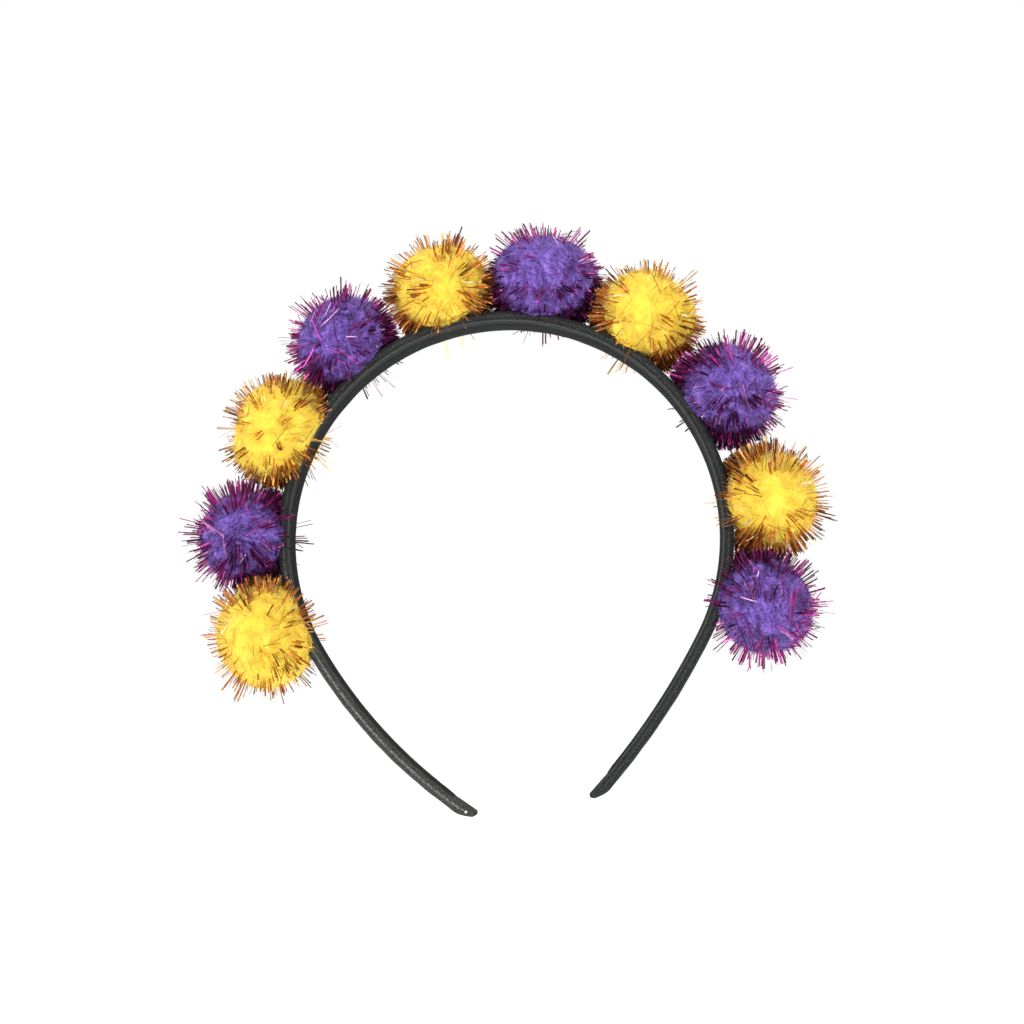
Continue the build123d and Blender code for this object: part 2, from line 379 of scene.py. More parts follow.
SATIN = woven_cloth("wrap_satin", (0.0055, 0.0075, 0.007), (0.018, 0.0215, 0.020), (0.20, 0.20, 0.19),
                    0.26 * MM, 0.14)
RIBBON = woven_cloth("lining_ribbon", (0.004, 0.005, 0.0047), (0.012, 0.014, 0.013), (0.12, 0.13, 0.12),
                     0.4 * MM, 0.04)
PLASTIC = moulded_plastic()
GLUE = set_glue()
THREAD = binding_thread()
# Fibre colours go from painted shade in the clefts and deep in the ball, through the middle, to the palest
# tips, then a painted glint colour.
PILE = {
    "yellow": fibre("pile_yellow", (0.56, 0.26, 0.008), (0.80, 0.51, 0.026), (0.89, 0.65, 0.06),
                    (0.93, 0.75, 0.115), (0.95, 0.82, 0.25), 0.95),
    "purple": fibre("pile_purple", (0.035, 0.006, 0.035), (0.075, 0.026, 0.18), (0.17, 0.082, 0.44),
                    (0.31, 0.18, 0.66), (0.52, 0.35, 0.82), 0.62),
}
# The palest stops stand partly for paler strips and partly for painted highlights on the film.
FILM = {
    "yellow": tinsel_film("tinsel_gold", (
        (0.0, (0.10, 0.045, 0.01)), (0.2, (0.34, 0.09, 0.015)), (0.42, (0.72, 0.24, 0.04)),
        (0.62, (0.86, 0.44, 0.10)), (0.8, (0.95, 0.68, 0.28)), (1.0, (1.0, 0.86, 0.62))), (0.05, 0.05, 0.04)),
    "purple": tinsel_film("tinsel_magenta", (
        (0.0, (0.045, 0.006, 0.03)), (0.25, (0.16, 0.01, 0.08)), (0.5, (0.36, 0.02, 0.2)),
        (0.75, (0.62, 0.07, 0.42)), (1.0, (0.95, 0.5, 0.82))), (0.035, 0.035, 0.05)),
}


# ---------------------------------------------------------------- the hoop
def along_hoop(lengths):
    """Points of the hoop's inner face and its outward directions, at distances from the left tip."""
    lengths = np.asarray(lengths, float)
    centres = (bearing_way(LEFT_LEG[0]) * (HEAD_RADIUS - LEFT_LEG[1]), np.zeros(3),
               bearing_way(RIGHT_LEG[0]) * (HEAD_RADIUS - RIGHT_LEG[1]))
    radii = (LEFT_LEG[1], HEAD_RADIUS, RIGHT_LEG[1])
    first = (LEFT_LEG[0] - LEFT_LEG[2], LEFT_LEG[0], RIGHT_LEG[0])
    starts = (0.0, LEFT_LENGTH, LEFT_LENGTH + ROUND_LENGTH)
    which = np.searchsorted(starts, lengths, side="right") - 1
    which = np.clip(which, 0, 2)
    radius = np.take(radii, which)
    outward = bearing_way(np.take(first, which) + (lengths - np.take(starts, which)) / radius)
    return np.stack(centres)[which] + outward * radius[..., None], outward


def length_at(bearing):
    """Distance from the left tip to a bearing in degrees on the head circle."""
    return LEFT_LENGTH + HEAD_RADIUS * (math.radians(bearing) - LEFT_LEG[0])


def half_width(height):
    """Half the band's width at heights z: it narrows evenly from the crown to the tips."""
    narrowing = (CROWN_WIDTH - TIP_WIDTH) / (OUTER_RADIUS - TIP_HEIGHT)
    return (CROWN_WIDTH - narrowing * (OUTER_RADIUS - height)) / 2


RUN_STEPS, SIDE_STEPS, CORNER_STEPS = 14, 4, 14
SELVEDGE_HEIGHT = 0.10 * MM
SELVEDGE_SPREAD = math.radians(7)


def section_pattern():
    """Points round a rounded box: which corner each belongs to, and its place on that corner's arc."""
    rows = []
    corners = ((1, -1, -90), (1, 1, 0), (-1, 1, 90), (-1, -1, 180))
    runs = (RUN_STEPS, SIDE_STEPS, RUN_STEPS, SIDE_STEPS)
    for i, (side, out, start) in enumerate(corners):
        before = corners[i - 1]
        for k in range(1, runs[i]):
            share = k / runs[i]
            angle = math.radians(start)
            across_run = before[0] + (side - before[0]) * share
            out_run = before[1] + (out - before[1]) * share
            rows.append((across_run, out_run, angle))
        for k in range(CORNER_STEPS + 1):
            rows.append((side, out, math.radians(start + 90 * k / CORNER_STEPS)))
    return np.array(rows)


SECTION = section_pattern()


def tip_shape(from_tip, round_over):
    """How far the section draws in at each side and in depth, close to a tip."""
    left = np.clip(from_tip / round_over, 0, 1)
    return round_over * (1 - np.sqrt(1 - (1 - left) ** 2))


TIP_ROUND = 2.4 * MM
TIP_EDGE = 0.45 * MM
TIP_BEVEL_LENGTH = 5.2 * MM
TIP_BEVEL_DEPTH = 1.8 * MM


def tip_bevel(from_tip):
    """How far the outer face slopes in towards the inner face, close to a tip."""
    return TIP_BEVEL_DEPTH * np.clip(1 - from_tip / TIP_BEVEL_LENGTH, 0, 1) ** 1.6


def band_rings(lengths, inset, corner, seed):
    """Rings of points round the band, drawn in by inset, with the fabric's small puckers and selvedges.
    Returns the rings and, for each point, metres along, metres round, and how much selvedge it is."""
    points, outward = along_hoop(lengths)
    from_tip = np.minimum(lengths, HOOP_LENGTH - lengths)
    half = half_width(points[:, 2]) - inset - tip_shape(np.maximum(from_tip - inset, 0), TIP_ROUND)
    edge = tip_shape(np.maximum(from_tip - inset, 0), TIP_EDGE)
    inner = LINING_THICK + inset + edge
    outer = np.maximum(BAND_THICK - inset - edge - tip_bevel(from_tip), inner + 0.1 * MM)
    middle, deep = (inner + outer) / 2, (outer - inner) / 2
    radius = np.minimum(corner, 0.98 * np.minimum(half, deep))
    side, out, angle = SECTION.T
    sideways = (half - radius)[:, None] * side + radius[:, None] * np.cos(angle)
    depth = middle[:, None] + (deep - radius)[:, None] * out + radius[:, None] * np.sin(angle)
    halfway = len(lengths) // 2
    steps = np.hypot(np.diff(sideways[halfway], append=0), np.diff(depth[halfway], append=0))
    round_it = np.concatenate([[0], np.cumsum(steps[:-1])])
    along = np.repeat(lengths[:, None], len(angle), 1)
    girth = np.repeat(round_it[None], len(lengths), 0)
    random = np.random.default_rng(seed)
    flat = np.stack([along.ravel() / (9 * MM), girth.ravel() / (14 * MM)], axis=-1)
    pucker = waves(flat, random, 12, 0.25, 1.3).reshape(along.shape) * 0.035 * MM
    near_corner = np.minimum(abs(angle + math.radians(45)), abs(angle - math.radians(225)))
    ridge = np.exp(-((near_corner / SELVEDGE_SPREAD) ** 2))
    ridge = ridge[None] * np.clip(from_tip / (6 * MM), 0, 1)[:, None]
    if inset > 0:
        pucker, ridge = 0 * pucker, 0 * ridge
    lift = pucker + ridge * SELVEDGE_HEIGHT
    sideways = sideways + lift * np.cos(angle)
    depth = depth + lift * np.sin(angle)
    rings = points[:, None] + outward[:, None] * depth[..., None]
    rings[..., 1] += sideways
    return rings, along, girth, ridge


def ring_faces(rows, around, flip, offset=0):
    """Quads between rows of points that each run round in a loop."""
    i = np.arange(rows - 1)[:, None] * around
    j = np.arange(around)
    k = (j + 1) % around
    quads = np.stack([i + j, i + k, i + k + around, i + j + around], axis=-1).reshape(-1, 4) + offset
    return quads[:, ::-1] if flip else quads


def fan(first, around, centre, flip):
    """Triangles from a loop of points that starts at first to a centre point."""
    j = np.arange(around)
    triangles = np.stack([first + j, first + (j + 1) % around, np.full(around, centre)], axis=-1)
    return triangles[:, ::-1] if flip else triangles


def stretch_lengths(start, end, spacing):
    """Distances from the left tip where a stretch has its rings, closer together near a tip."""
    first = 0.0 if start is None else length_at(start)
    last = HOOP_LENGTH if end is None else length_at(end)
    lengths = np.linspace(first, last, round((last - first) / spacing) + 1)
    close = TIP_ROUND * (1 - np.cos(np.linspace(0, math.pi / 2, 12)))
    if start is None:
        lengths = np.concatenate([close[:-1], lengths[lengths >= TIP_ROUND]])
    if end is None:
        lengths = np.concatenate([lengths[lengths <= last - TIP_ROUND], last - close[::-1][1:]])
    return lengths


def ride_stretch(piece, stretch, kind):
    """Hides the CAD nodes that a stretch of the hoop stands in for, and bakes the piece's transform."""
    name, before, after, hinge, _, _ = stretch
    place = np.array(JOINTS[hinge]["pos_m"])
    tangent = np.array([place[2], 0, -place[0]])
    tangent = unit(tangent) * HINGE_REACH
    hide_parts(*[f"{kind}_{segment}" for segment in STANDS_FOR[name]])
    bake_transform(piece)


def make_cover(stretch, seed):
    """The satin cover: a thin tube of cloth round the plastic strip, closed over at the tips."""
    name, _, _, _, start, end = stretch
    lengths = stretch_lengths(start, end, 0.8 * MM)
    outer, along, girth, ridge = band_rings(lengths, 0.0, 1.3 * MM, seed)
    inner, _, _, _ = band_rings(lengths, WRAP_THICK, 1.0 * MM, seed)
    rows, around = along.shape
    count = rows * around
    points = np.concatenate([outer.reshape(-1, 3), inner.reshape(-1, 3)])
    faces = [ring_faces(rows, around, False), ring_faces(rows, around, True, count)]
    extra = []
    for is_start, closed in ((True, start is None), (False, end is None)):
        at = 0 if is_start else count - around
        if closed:
            middle = points[at:at + around].mean(0)
            inner_middle = points[count + at:count + at + around].mean(0)
            centre = 2 * count + len(extra)
            extra += [middle, inner_middle]
            faces.append(fan(at, around, centre, is_start))
            faces.append(fan(count + at, around, centre + 1, not is_start))
        else:
            j = np.arange(around)
            k = (j + 1) % around
            rim = np.stack([at + j, at + k, count + at + k, count + at + j], axis=-1)
            faces.append(rim[:, ::-1] if is_start else rim)
    if extra:
        points = np.concatenate([points, extra])
    spare = np.zeros(len(extra))
    cloth = np.stack([np.concatenate([along.ravel(), along.ravel(), spare]),
                      np.concatenate([girth.ravel(), girth.ravel(), spare]),
                      np.zeros(len(points))], axis=-1)
    hoop_points, _ = along_hoop(lengths)
    leg_share = np.clip(-hoop_points[:, 2] / (30 * MM), 0, 1) * (hoop_points[:, 0] < 0)
    # Painted highlight: the selvedge ridge along the inner corners is made paler, less so down the lower left
    # leg.
    ridge_highlight = (0.36 * (1 - 0.8 * leg_share))[:, None] * ridge
    edge = np.concatenate([ridge_highlight.ravel(), np.zeros(count), spare])
    # Painted sheen: a lighter speckled sheen down the middle of the band's front and back edges, faint
    # everywhere and strong on the lower left leg.
    side_middle = np.exp(-((SECTION[:, 1] / 0.7) ** 2)) * (abs(SECTION[:, 0]) > 0.98)
    painted_sheen = np.clip((0.20 + 1.6 * leg_share)[:, None] * side_middle[None], 0, 1)
    worn = np.concatenate([painted_sheen.ravel(), np.zeros(count), spare])
    piece = new_piece(f"cover_{name}", points, faces, SATIN, cloth=cloth, edge=edge, worn=worn)
    ride_stretch(piece, stretch, "wrap")


STRIP_STOP = 1.2 * MM  # from each tip


def make_strip(stretch, seed):
    """The springy plastic strip inside the cover."""
    name, _, _, _, start, end = stretch
    lengths = stretch_lengths(start, end, 1.6 * MM)
    lengths = lengths[(lengths > STRIP_STOP) & (lengths < HOOP_LENGTH - STRIP_STOP)]
    rings, along, girth, _ = band_rings(lengths, WRAP_THICK + 0.05 * MM, 0.9 * MM, seed)
    rows, around = along.shape
    points = np.concatenate([rings.reshape(-1, 3), [rings[0].mean(0), rings[-1].mean(0)]])
    faces = [ring_faces(rows, around, False), fan(0, around, rows * around, True),
             fan((rows - 1) * around, around, rows * around + 1, False)]
    cloth = np.zeros((len(points), 3))
    cloth[:-2, 0], cloth[:-2, 1] = along.ravel(), girth.ravel()
    piece = new_piece(f"strip_{name}", points, faces, PLASTIC, cloth=cloth)
    ride_stretch(piece, stretch, "core")


LINING_STOP = 8.0 * MM
RIB_PITCH = 0.9 * MM
RIB_HEIGHT = 0.05 * MM
CORD_RADIUS = 0.22 * MM  # of the ribbon's two woven edges
FEATHER = 1.0 * MM  # over which the ribbon thins to each side
END_FEATHER = 3.0 * MM  # and to each end


def ribbon_rings(lengths, half, low, high):
    """Rings round a flat ribbon with raised woven edges, low to high off the hoop's inner face."""
    points, outward = along_hoop(lengths)
    steps = 17
    share = np.linspace(-1, 1, steps)
    ribs = RIB_HEIGHT * (0.5 + 0.5 * np.cos(2 * math.pi * lengths / RIB_PITCH))
    edge = np.exp(-(((1 - abs(share)) * half / CORD_RADIUS - 0.8) ** 2))
    top = low - (ribs[:, None] * (1 - edge) + edge * 0.05 * MM)
    bottom = np.full((len(lengths), steps), high)
    from_end = np.minimum(lengths, HOOP_LENGTH - lengths) - LINING_STOP
    sides = np.clip((1 - abs(share)) * half / FEATHER, 0, 1)
    ends = np.clip(from_end / END_FEATHER, 0, 1)
    full = np.sqrt(sides[None] * ends[:, None])
    top = high + (top - high) * (0.12 + 0.88 * full)
    sideways = np.concatenate([share, share[::-1]]) * half
    depth = np.concatenate([top, bottom[:, ::-1]], axis=1)
    rings = points[:, None] + outward[:, None] * depth[..., None]
    rings[..., 1] += sideways
    mark = np.concatenate([edge, edge[::-1]])
    return rings, sideways, mark


def make_ribbon(stretch):
    """The woven ribbon along the inner face, stopping short of the tips."""
    name, _, _, _, start, end = stretch
    first = LINING_STOP if start is None else length_at(start)
    last = HOOP_LENGTH - LINING_STOP if end is None else length_at(end)
    lengths = np.linspace(first, last, round((last - first) / (0.3 * MM)) + 1)
    rings, sideways, mark = ribbon_rings(lengths, LINING_WIDTH / 2, 0.05 * MM, LINING_THICK)
    rows, around = len(lengths), len(sideways)
    points = np.concatenate([rings.reshape(-1, 3), [rings[0].mean(0), rings[-1].mean(0)]])
    faces = [ring_faces(rows, around, False), fan(0, around, rows * around, True),
             fan((rows - 1) * around, around, rows * around + 1, False)]
    cloth = np.zeros((len(points), 3))
    cloth[:-2, 0] = np.repeat(lengths, around)
    cloth[:-2, 1] = np.tile(sideways, rows)
    edge = np.append(np.tile(mark, rows) * 0.35, [0, 0])
    piece = new_piece(f"ribbon_{name}", points, faces, RIBBON, cloth=cloth, edge=edge)
    ride_stretch(piece, stretch, "lining")


for index, stretch in enumerate(STRETCHES):
    make_strip(stretch, index)
    make_cover(stretch, index)
    make_ribbon(stretch)


# ---------------------------------------------------------------- the tips
TAB_LENGTH = 7.0 * MM
TAB_WIDTH = 6.5 * MM
TAB_THICK = 0.2 * MM


def make_tab(side):
    """The end of the cover's ribbon, folded over the tip from the outer face to the inner one."""
    steps = 26
    way = np.linspace(0, 1, 3 * steps)
    run_back = np.where(way > 0.58, (way - 0.58) / 0.42, 0)
    from_tip = TAB_LENGTH * np.where(way < 0.42, 1 - way / 0.42, run_back)
    outer = BAND_THICK - tip_bevel(from_tip) - tip_shape(from_tip, TIP_EDGE) + 0.02 * MM
    inner = LINING_THICK + tip_shape(from_tip, TIP_EDGE) - 0.02 * MM
    turn = np.clip((way - 0.42) / 0.16, 0, 1) * math.pi
    middle, deep = (outer + inner) / 2, (outer - inner) / 2
    depth = middle + deep * np.cos(turn)
    bulge = np.where((way > 0.42) & (way < 0.58), np.sin(turn), 0) * 0.22 * MM
    reach = from_tip - bulge
    lengths = reach if side == "left" else HOOP_LENGTH - reach
    points, outward = along_hoop(lengths)
    line = points + outward * depth[:, None]
    tangent = unit(np.gradient(line, axis=0))
    normal = np.cross(tangent, [0, 1, 0])
    share = np.linspace(-1, 1, 11)
    draw_in = 1 - 0.22 * np.exp(-((reach / (2.2 * MM)) ** 2))
    half = TAB_WIDTH / 2 * draw_in
    thin = np.clip((TAB_LENGTH - from_tip) / (2 * MM), 0.1, 1)
    lift = TAB_THICK / 2 * (1 - 0.5 * abs(share) ** 6) * thin[:, None]
    rings = []
    for sign, shares in ((1, share), (-1, share[::-1])):
        row = line[:, None] + normal[:, None] * (sign * lift)[..., None]
        row[..., 1] += half[:, None] * shares
        rings.append(row)
    rings = np.concatenate(rings, axis=1)
    rows, around = rings.shape[:2]
    flat = np.concatenate([[0], np.cumsum(np.linalg.norm(np.diff(line, axis=0), axis=1))])
    points = np.concatenate([rings.reshape(-1, 3), [rings[0].mean(0), rings[-1].mean(0)]])
    faces = [ring_faces(rows, around, False), fan(0, around, rows * around, True),
             fan((rows - 1) * around, around, rows * around + 1, False)]
    cloth = np.zeros((len(points), 3))
    cloth[:-2, 0] = np.repeat(flat, around)
    cloth[:-2, 1] = (half[:, None] * np.concatenate([share, share[::-1]])).ravel()
    rim = np.exp(-(((1 - abs(np.concatenate([share, share[::-1]]))) / 0.1) ** 2))
    edge = np.append(np.tile(rim, rows) * 0.3, [0, 0])
    piece = new_piece(f"tip_fold_{side}", points, faces, SATIN, cloth=cloth, edge=edge)
    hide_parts(f"end_tab_{side}")
    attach(piece, BODY[f"end_tab_{side}"])


def sphere_mesh(level):
    """Points and triangles of an icosphere of radius 1."""
    shape = bmesh.new()
    bmesh.ops.create_icosphere(shape, subdivisions=level, radius=1.0)
    points = np.array([v.co for v in shape.verts])
    triangles = np.array([[v.index for v in f.verts] for f in shape.faces])
    shape.free()
    return points, triangles


BEAD_RADIUS = 0.36 * MM


def make_bead():
    """The drop of glue on the left tip: a small lumpy bead half sunk in the cover."""
    low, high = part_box("glue_bead_left")
    centre = np.array((low + high) / 2)
    points, triangles = sphere_mesh(4)
    random = np.random.default_rng(11)
    lumps = 1 + 0.12 * waves(points, random, 8, 0.3, 0.9)
    points = points * lumps[:, None] * BEAD_RADIUS
    points[:, 1] *= 0.8
    centre[1] = low[1] + 0.5 * MM
    piece = new_piece("glue_drop_left", points + centre, [triangles], GLUE)
    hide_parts("glue_bead_left")
    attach(piece, BODY["glue_bead_left"])


for side in ("left", "right"):
    make_tab(side)
make_bead()


# ---------------------------------------------------------------- the balls
FIBRES = 16000  # in each ball
BUNDLES = 150  # of tinsel in each ball
FRINGE_BUNDLES = 46  # more of them towards each neighbour
LOW_BUNDLES = 40  # more of them that fill the gap over the band beside each neighbour
FLAT_BUNDLES = 150  # more of them combed flat along the surface
GLUE_TOP = OUTER_RADIUS + 0.4 * MM
EDGE_GAP = 0.25 * MM  # between fibre and the edges of the band
OVERHANG = 3.2 * MM  # of a ball's fibre that spills over an edge of the band
HEAD_GAP = 0.7 * MM  # between spilled fibre and the head circle
NEIGHBOUR_GAP = 0.2 * MM
# How wide each ball is along the band, and how tall it stands off it, as shares of its CAD radius.
BALL_SHAPES = (
    (1.09, 0.96), (1.00, 0.94), (1.12, 0.88), (1.09, 0.88), (1.06, 0.86),
    (1.12, 0.89), (1.05, 0.87), (1.06, 0.92), (0.99, 0.93), (0.99, 1.02),
)
# Long strips that have slipped down behind the band, by ball.
HANGING = {2: 4, 3: 8, 4: 7, 5: 5, 6: 6, 7: 10, 8: 2, 9: 7}
BRUSHED_FIBRE = 0.12  # how far fibre is combed away from a ball's parting
BRUSHED_FILM = 0.38


def measure_ball(number):
    """Centre and radius of a ball, from the CAD solid's points that stand clear of the hoop."""
    node_mesh = frame["nodes"][f"pile_{number:02d}"].data
    points = np.array([v.co for v in node_mesh.vertices], float)
    free = points[np.hypot(points[:, 0], points[:, 2]) > OUTER_RADIUS + 2 * MM]
    system = np.column_stack([2 * free, np.ones(len(free))])
    solved = np.linalg.lstsq(system, (free**2).sum(1), rcond=None)[0]
    return solved[:3], math.sqrt(solved[3] + solved[:3] @ solved[:3])


BALLS = [measure_ball(number) for number in range(1, BALL_COUNT + 1)]


def planes_between(number):
    """For each neighbour, the point half way to it, shared by size, and the direction towards it."""
    centre, radius = BALLS[number - 1]
    found = []
    for other in (number - 1, number + 1):
        if 1 <= other <= BALL_COUNT:
            place, size = BALLS[other - 1]
            found.append((centre + (place - centre) * radius / (radius + size), unit(place - centre)))
    return found


def ball_axes(number):
    """Unit vectors of a ball: along the band and away from it."""
    centre, _ = BALLS[number - 1]
    away = unit(centre * np.array([1.0, 0.0, 1.0]))
    return np.array([away[2], 0.0, -away[0]]), away


def clear_share(number, starts, ends, overlap=0.0):
    """How much of each straight line, from 0 to 1, stays out of the hoop and does not pass the planes
    half way to the neighbouring balls by more than overlap."""
    steps = np.linspace(0.0, 1.0, 40)
    points = starts[:, None] + (ends - starts)[:, None] * steps[:, None]
    off_axis = np.hypot(points[..., 0], points[..., 2])
    beside = abs(points[..., 1]) < half_width(points[..., 2]) + EDGE_GAP
    stopped = beside & (off_axis < GLUE_TOP)
    for middle, towards in planes_between(number):
        passed = (points - middle) @ towards
        stopped |= passed > np.broadcast_to(overlap, len(starts))[:, None] - NEIGHBOUR_GAP
    first = np.where(stopped.any(1), stopped.argmax(1), len(steps))
    return np.where(first < len(steps), steps[np.maximum(first - 1, 0)], 1.0)


def spread_over_edges(points, lift=0.0):
    """Points of a ball that fall inside the hoop's edges, moved past the nearer edge by lift more than
    the gap.  Also tells which were moved."""
    off_axis = np.hypot(points[:, 0], points[:, 2])
    edge = half_width(points[:, 2]) + EDGE_GAP
    beside = abs(points[:, 1])
    caught = (off_axis < GLUE_TOP) & (beside < edge) & (beside > edge - OVERHANG)
    moved = points.copy()
    moved[:, 1] = np.where(caught, np.copysign(edge + lift, points[:, 1]), points[:, 1])
    low = HEAD_RADIUS + HEAD_GAP
    held = np.maximum(off_axis, low) / off_axis
    return moved * np.stack([held, np.ones(len(held)), held], axis=-1), caught


def parting(number):
    """The line through a ball, near front to back, that its fibres are combed away from."""
    along, away = ball_axes(number)
    random = np.random.default_rng(600 + number)
    return unit(np.array([0.0, -1.0, 0.0]) + along * random.normal(0, 0.22) + away * random.normal(0, 0.22))


def combed(ways, pole, strength):
    """Directions leant away from both ends of a ball's parting, most where they face them."""
    facing = (ways @ pole)[:, None]
    level = unit(ways - pole * facing)
    return unit(ways + level * strength * abs(facing) ** 0.7)


def comb_streaks(ways, pole, seed, fineness):
    """A field of streaks, about -1 to 1, that run out from both ends of a ball's parting."""
    side = unit(np.cross(pole, [0.3, 0.1, 1.0]))
    other = np.cross(pole, side)
    strayed = unit(ways + 0.10 * np.stack([waves(ways, np.random.default_rng(seed + k), 8, 0.6, 2.0)
                                           for k in range(3)], axis=-1))
    turn = np.arctan2(strayed @ side, strayed @ other)
    tilt = np.arccos(np.clip(abs(strayed @ pole), 0, 1))
    place = np.stack([np.cos(turn) * fineness, np.sin(turn) * fineness, tilt * 5.0], axis=-1)
    fade = np.clip(tilt / 0.5, 0.25, 1)
    return waves(place, np.random.default_rng(seed), 16, 0.35, 1.2) * fade


def make_pile(number, colour):
    """A ball of fibre: a streaked, slightly lumpy body under thousands of short combed fibres."""
    centre, radius = BALLS[number - 1]
    wide, tall = BALL_SHAPES[number - 1]
    along, away = ball_axes(number)
    pole = parting(number)
    random = np.random.default_rng(100 + number)
    lump_seed, grain_seed, streak_seed = 200 + number, 300 + number, 400 + number
    soft = colour == "yellow"

    def reach(ways):
        """Distance from the ball's centre to its outline."""
        out = ways @ away
        stand = np.where(out > 0, out / tall, out)
        size = radius / np.sqrt((ways @ along / wide) ** 2 + stand**2 + ways[:, 1] ** 2)
        return size * (1 + 0.018 * waves(ways, np.random.default_rng(lump_seed), 10, 0.3, 1.1))

    ways, triangles = sphere_mesh(6)
    size = reach(ways)
    grain = waves(ways * radius, np.random.default_rng(grain_seed), 22, 0.45 / MM, 1.5 / MM)
    blotch = waves(ways * radius, np.random.default_rng(grain_seed + 50), 12, 0.12 / MM, 0.3 / MM)
    streak = comb_streaks(ways, pole, streak_seed, 9.0)
    body = size * 0.925 + (grain * 0.09 + streak * 0.14 + blotch * 0.07) * MM
    outline = centre + ways * body[:, None]
    spilled, caught = spread_over_edges(outline)
    cut = clear_share(number, np.broadcast_to(centre, ways.shape), outline)[:, None]
    cut_points, _ = spread_over_edges(centre + (outline - centre) * cut)
    body_points = np.where(caught[:, None], spilled, cut_points)
    contrast = 0.09 if soft else 0.19
    # Painted shade: the body's colour darkens where its streaks, grain and blotches sink its surface.
    body_shade_depth = 0.56 + contrast * (streak * 0.55 + grain * 0.8 + blotch * 0.4)
    body_tone = 0.5 + 0.08 * blotch

    roots = even_directions(FIBRES, random, 0.6)
    swirl = 0.10 * np.stack([waves(roots, np.random.default_rng(lump_seed + 50 + k), 8, 0.5, 1.6)
                             for k in range(3)], axis=-1)
    lean = unit(combed(roots, pole, BRUSHED_FIBRE) + swirl + random.normal(0, 0.06, roots.shape))
    full = reach(lean) * random.normal(0.985, 0.02, FIBRES)
    long_ones = random.random(FIBRES) < 0.004
    full = np.where(long_ones, full + random.uniform(0.8, 2.6, FIBRES) * MM, full)
    root = centre + roots * (reach(roots) * 0.85)[:, None]
    root, _ = spread_over_edges(root)
    tip, _ = spread_over_edges(centre + lean * full[:, None], random.uniform(0.2 * MM, 0.9 * MM, FIBRES))
    share = clear_share(number, root, tip)
    kept = share > 0.35
    root, tip, lean, share = root[kept], tip[kept], lean[kept], share[kept]
    tip = root + (tip - root) * share[:, None]
    count = len(root)
    bend = across(lean, random) * random.normal(0, 0.22 * MM, count)[:, None]
    middle = (root + tip) / 2 + bend
    half = across(lean, random) * (random.uniform(0.05, 0.10, count) * MM)[:, None]
    strand = np.stack([root - half, root + half, middle - half * 0.8, middle + half * 0.8, tip], axis=1)
    first = len(body_points) + np.arange(count)[:, None] * 5
    quads = first + np.array([0, 1, 3, 2])
    ends = first + np.array([2, 3, 4])
    patch = comb_streaks(lean, pole, streak_seed, 9.0)
    tone = np.clip(0.5 + 0.05 * patch + random.normal(0, 0.15 if soft else 0.28, count), 0, 1)
    # Painted shade: each fibre is darkest at its root, deep in the ball, and palest at its tip.
    shade_levels = (0.42, 0.74, 1.0) if soft else (0.28, 0.62, 1.0)
    depth = np.repeat(np.array([shade_levels[0], shade_levels[0], shade_levels[1], shade_levels[1], shade_levels[2]])[None], count, 0)
    depth = depth + (patch * contrast * 0.8)[:, None]
    points = np.concatenate([body_points, strand.reshape(-1, 3)])
    piece = new_piece(
        f"fibre_ball_{number:02d}", points, [triangles, quads, ends], PILE[colour],
        depth=np.clip(np.concatenate([body_shade_depth, depth.ravel()]), 0, 1),
        tone=np.concatenate([np.clip(body_tone, 0, 1), np.repeat(tone, 5)]),
        place=points,
    )
    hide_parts(f"pile_{number:02d}")
    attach(piece, BODY[f"pile_{number:02d}"])


STRIP_STATIONS = np.array([0.0, 0.35, 0.6, 0.8, 0.93, 1.0])
FILM_THICK = 0.04 * MM


def tinsel_bundles(number, random):
    """The bundles of tinsel of a ball: directions, reach past the ball, tone, and strips in each."""
    _, radius = BALLS[number - 1]
    along, away = ball_axes(number)
    pole = parting(number)
    ways = [combed(even_directions(BUNDLES, random, 0.5), pole, BRUSHED_FILM)]
    reach = [random.choice([2.6, 4.2, 6.0], BUNDLES, p=[0.42, 0.40, 0.18]) * MM]
    tone = [random.uniform(0.0, 1.0, BUNDLES)]
    strips = [random.choice([1, 2, 3, 4, 5, 7], BUNDLES, p=[0.24, 0.22, 0.2, 0.16, 0.12, 0.06])]
    for _, towards in planes_between(number):
        ways.append(unit(towards - away * 0.16 + random.normal(0, 0.46, (FRINGE_BUNDLES, 3))))
        reach.append(np.full(FRINGE_BUNDLES, 4.0 * MM))
        tone.append(random.uniform(0.0, 0.5, FRINGE_BUNDLES))
        strips.append(random.integers(4, 9, FRINGE_BUNDLES))
        ways.append(unit(towards - away * 0.82 + random.normal(0, 0.17, (LOW_BUNDLES, 3))))
        reach.append(np.full(LOW_BUNDLES, 3.8 * MM))
        tone.append(random.uniform(0.0, 0.4, LOW_BUNDLES))
        strips.append(random.integers(3, 8, LOW_BUNDLES))
    slipped = HANGING.get(number, 0)
    if slipped:
        spread = random.normal(0, 0.16, slipped)[:, None]
        ways.append(unit(-away * 0.84 + np.array([0.0, 0.58, 0.0]) + along * spread))
        reach.append(random.uniform(5.0, 8.5, slipped) * MM)
        tone.append(np.full(slipped, 1.0 if number % 2 else 0.0))
        strips.append(random.integers(1, 3, slipped))
    flat_ways = even_directions(FLAT_BUNDLES, random, 0.5)
    ways.append(combed(flat_ways, pole, 0.3))
    reach.append(random.choice([0.0, 1.6, 4.0], FLAT_BUNDLES, p=[0.6, 0.25, 0.15]) * MM)
    shares = [0.4, 0.25, 0.2, 0.15] if number % 2 else [0.25, 0.2, 0.25, 0.3]
    tone.append(random.choice([0.0, 0.25, 0.5, 1.0], FLAT_BUNDLES, p=shares))
    shares = [0.75, 0.2, 0.05, 0.0] if number % 2 else [0.5, 0.25, 0.15, 0.1]
    strips.append(random.choice([1, 2, 3, 6], FLAT_BUNDLES, p=shares))
    return [np.concatenate(parts) for parts in (ways, reach, tone, strips)]


